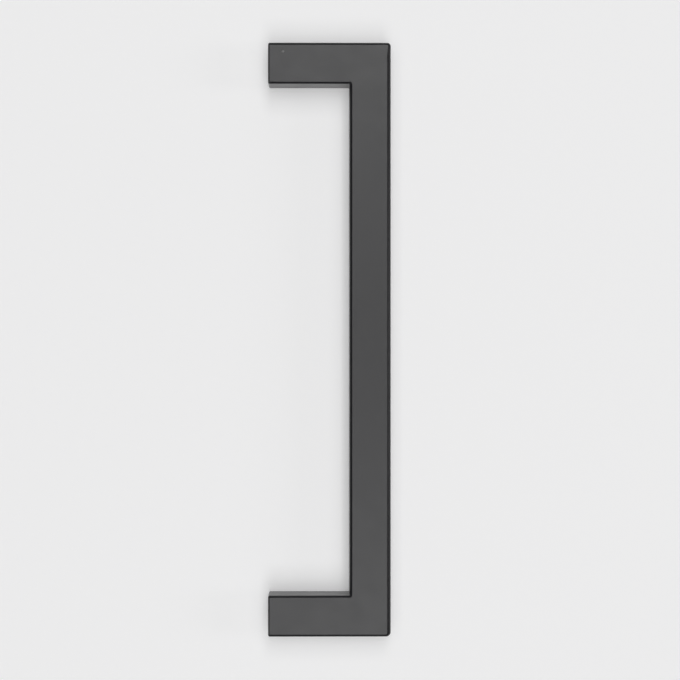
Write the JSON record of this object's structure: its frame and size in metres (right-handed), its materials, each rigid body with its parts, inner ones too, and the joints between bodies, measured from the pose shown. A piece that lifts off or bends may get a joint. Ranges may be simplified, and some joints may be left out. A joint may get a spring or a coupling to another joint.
{
  "type": "door pull handle",
  "caption": "Square-section door pull with a straight grip and two right-angle legs, tapped at each foot for bolting through a door.",
  "frame": {"origin": "on the surface the handle lies on, under the middle of its box", "axes": "+X from the feet, which meet the door, to the front of the grip; +Y along the grip from the lower leg to the upper leg; +Z across the tube, up from the surface it lies on"},
  "size_m": [0.0564, 0.273, 0.019],
  "materials": {
    "black_coat": "fine matt powder coat",
    "plated_steel": "machined, zinc plated"
  },
  "bodies": {
    "root": {"pull_body": "black_coat", "upper_foot_plug": "plated_steel", "lower_foot_plug": "plated_steel"}
  },
  "joints": []
}
